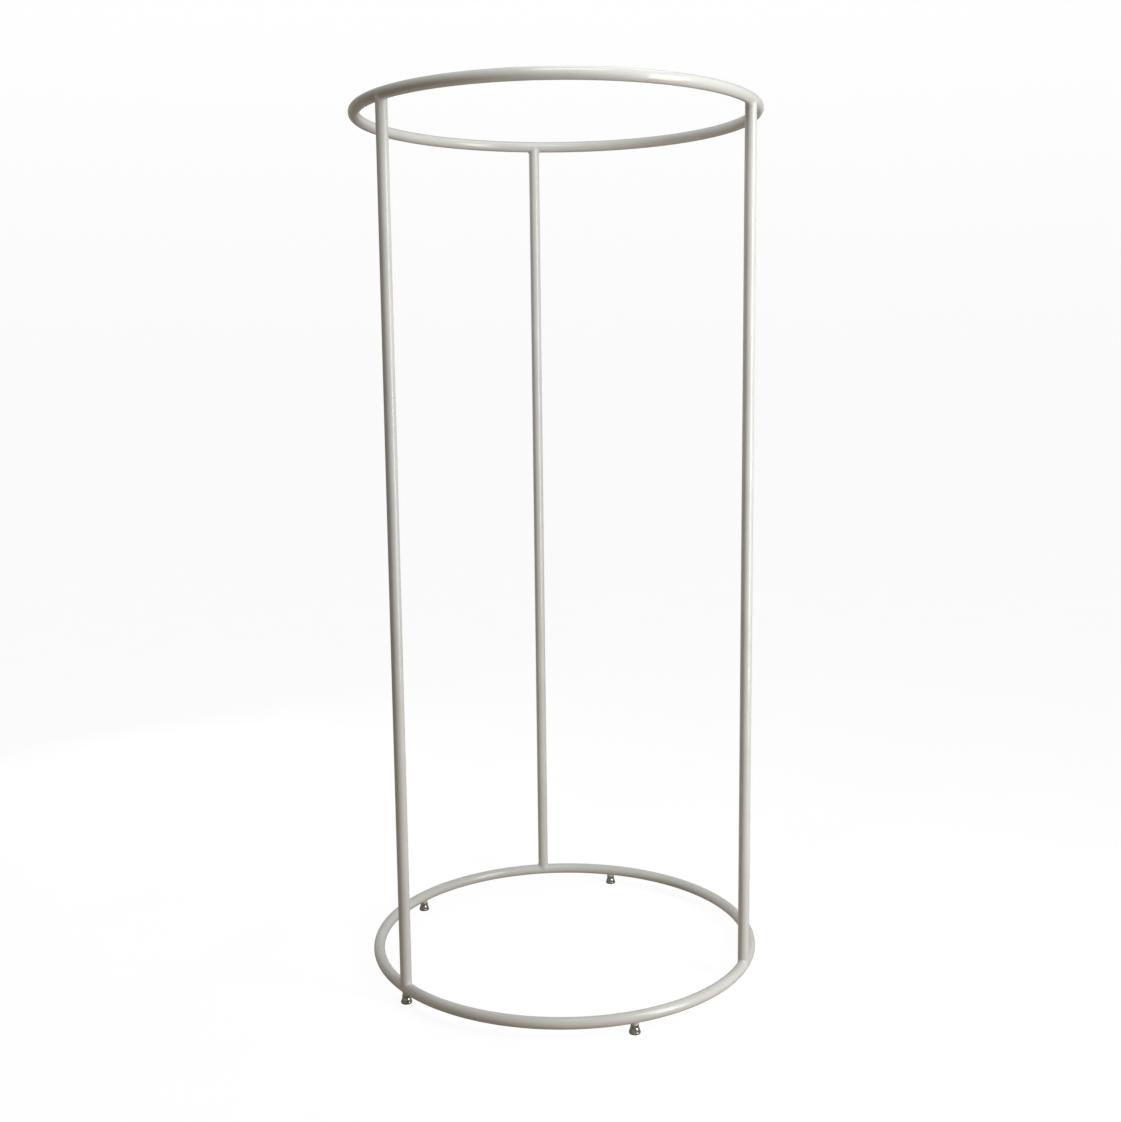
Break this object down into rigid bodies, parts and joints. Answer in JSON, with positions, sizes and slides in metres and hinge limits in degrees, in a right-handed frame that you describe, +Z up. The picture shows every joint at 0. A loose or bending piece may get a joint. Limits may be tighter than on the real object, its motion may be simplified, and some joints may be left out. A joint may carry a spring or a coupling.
{
  "type": "round garment rack",
  "caption": "Free-standing round garment rack: tubular hanging ring over a matching base ring, joined by welded uprights, on screw-adjusted bell-shaped levelling feet.",
  "frame": {"origin": "on the floor, at the centre of the two rings", "axes": "+Z up; -Y is the front, midway between the two front uprights; +X is to the right seen from the front"},
  "size_m": [0.9143, 0.9149, 1.965],
  "materials": {
    "frame_paint": "satin light grey-white powder coat",
    "weld_paint": "the same powder coat over dressed weld metal",
    "raw_steel": "bare mill steel, hidden inside the tube",
    "foot_chrome": "bright chrome plate",
    "foot_pad": "dull grey nylon"
  },
  "bodies": {
    "rack": {"top_ring": "frame_paint", "top_ring_sleeve": "raw_steel", "top_ring_butt_weld": "weld_paint", "bottom_ring": "frame_paint", "bottom_ring_sleeve": "raw_steel", "bottom_ring_butt_weld": "weld_paint", "upright_front_left": "frame_paint", "upright_front_right": "frame_paint", "upright_rear": "frame_paint", "top_weld_front_left": "weld_paint", "top_weld_front_right": "weld_paint", "top_weld_rear": "weld_paint", "bottom_weld_front_left": "weld_paint", "bottom_weld_front_right": "weld_paint", "bottom_weld_rear": "weld_paint", "foot_boss_1": "frame_paint", "foot_boss_2": "frame_paint", "foot_boss_3": "frame_paint", "foot_boss_4": "frame_paint", "foot_boss_5": "frame_paint", "foot_boss_welds": "weld_paint"},
    "foot_1": {"foot_bell_1": "foot_chrome", "foot_pad_1": "foot_pad"},
    "foot_1_screw": {"foot_stud_1": "foot_chrome"},
    "foot_2": {"foot_bell_2": "foot_chrome", "foot_pad_2": "foot_pad"},
    "foot_2_screw": {"foot_stud_2": "foot_chrome"},
    "foot_3": {"foot_bell_3": "foot_chrome", "foot_pad_3": "foot_pad"},
    "foot_3_screw": {"foot_stud_3": "foot_chrome"},
    "foot_4": {"foot_bell_4": "foot_chrome", "foot_pad_4": "foot_pad"},
    "foot_4_screw": {"foot_stud_4": "foot_chrome"},
    "foot_5": {"foot_bell_5": "foot_chrome", "foot_pad_5": "foot_pad"},
    "foot_5_screw": {"foot_stud_5": "foot_chrome"}
  },
  "joints": [
    {"name": "foot_1_drop", "type": "slide", "parent": "rack", "child": "foot_1", "axis": [0, 0, -1], "range_m": [0, 0.009]},
    {"name": "foot_1_turn", "type": "hinge", "parent": "foot_1", "child": "foot_1_screw", "pos_m": [-0.38495, -0.22225, 0.015], "axis": [0, 0, -1], "range_deg": [0, 2160]},
    {"name": "foot_2_drop", "type": "slide", "parent": "rack", "child": "foot_2", "axis": [0, 0, -1], "range_m": [0, 0.009]},
    {"name": "foot_2_turn", "type": "hinge", "parent": "foot_2", "child": "foot_2_screw", "pos_m": [0.09242, -0.43479, 0.015], "axis": [0, 0, -1], "range_deg": [0, 2160]},
    {"name": "foot_3_drop", "type": "slide", "parent": "rack", "child": "foot_3", "axis": [0, 0, -1], "range_m": [0, 0.009]},
    {"name": "foot_3_turn", "type": "hinge", "parent": "foot_3", "child": "foot_3_screw", "pos_m": [0.44206, -0.04646, 0.015], "axis": [0, 0, -1], "range_deg": [0, 2160]},
    {"name": "foot_4_drop", "type": "slide", "parent": "rack", "child": "foot_4", "axis": [0, 0, -1], "range_m": [0, 0.009]},
    {"name": "foot_4_turn", "type": "hinge", "parent": "foot_4", "child": "foot_4_screw", "pos_m": [0.18079, 0.40607, 0.015], "axis": [0, 0, -1], "range_deg": [0, 2160]},
    {"name": "foot_5_drop", "type": "slide", "parent": "rack", "child": "foot_5", "axis": [0, 0, -1], "range_m": [0, 0.009]},
    {"name": "foot_5_turn", "type": "hinge", "parent": "foot_5", "child": "foot_5_screw", "pos_m": [-0.33033, 0.29743, 0.015], "axis": [0, 0, -1], "range_deg": [0, 2160]}
  ],
  "couplings": [
    {"joint": "foot_1_turn", "follows": "foot_1_drop", "rad_per_m": 4188.8},
    {"joint": "foot_2_turn", "follows": "foot_2_drop", "rad_per_m": 4188.8},
    {"joint": "foot_3_turn", "follows": "foot_3_drop", "rad_per_m": 4188.8},
    {"joint": "foot_4_turn", "follows": "foot_4_drop", "rad_per_m": 4188.8},
    {"joint": "foot_5_turn", "follows": "foot_5_drop", "rad_per_m": 4188.8}
  ]
}
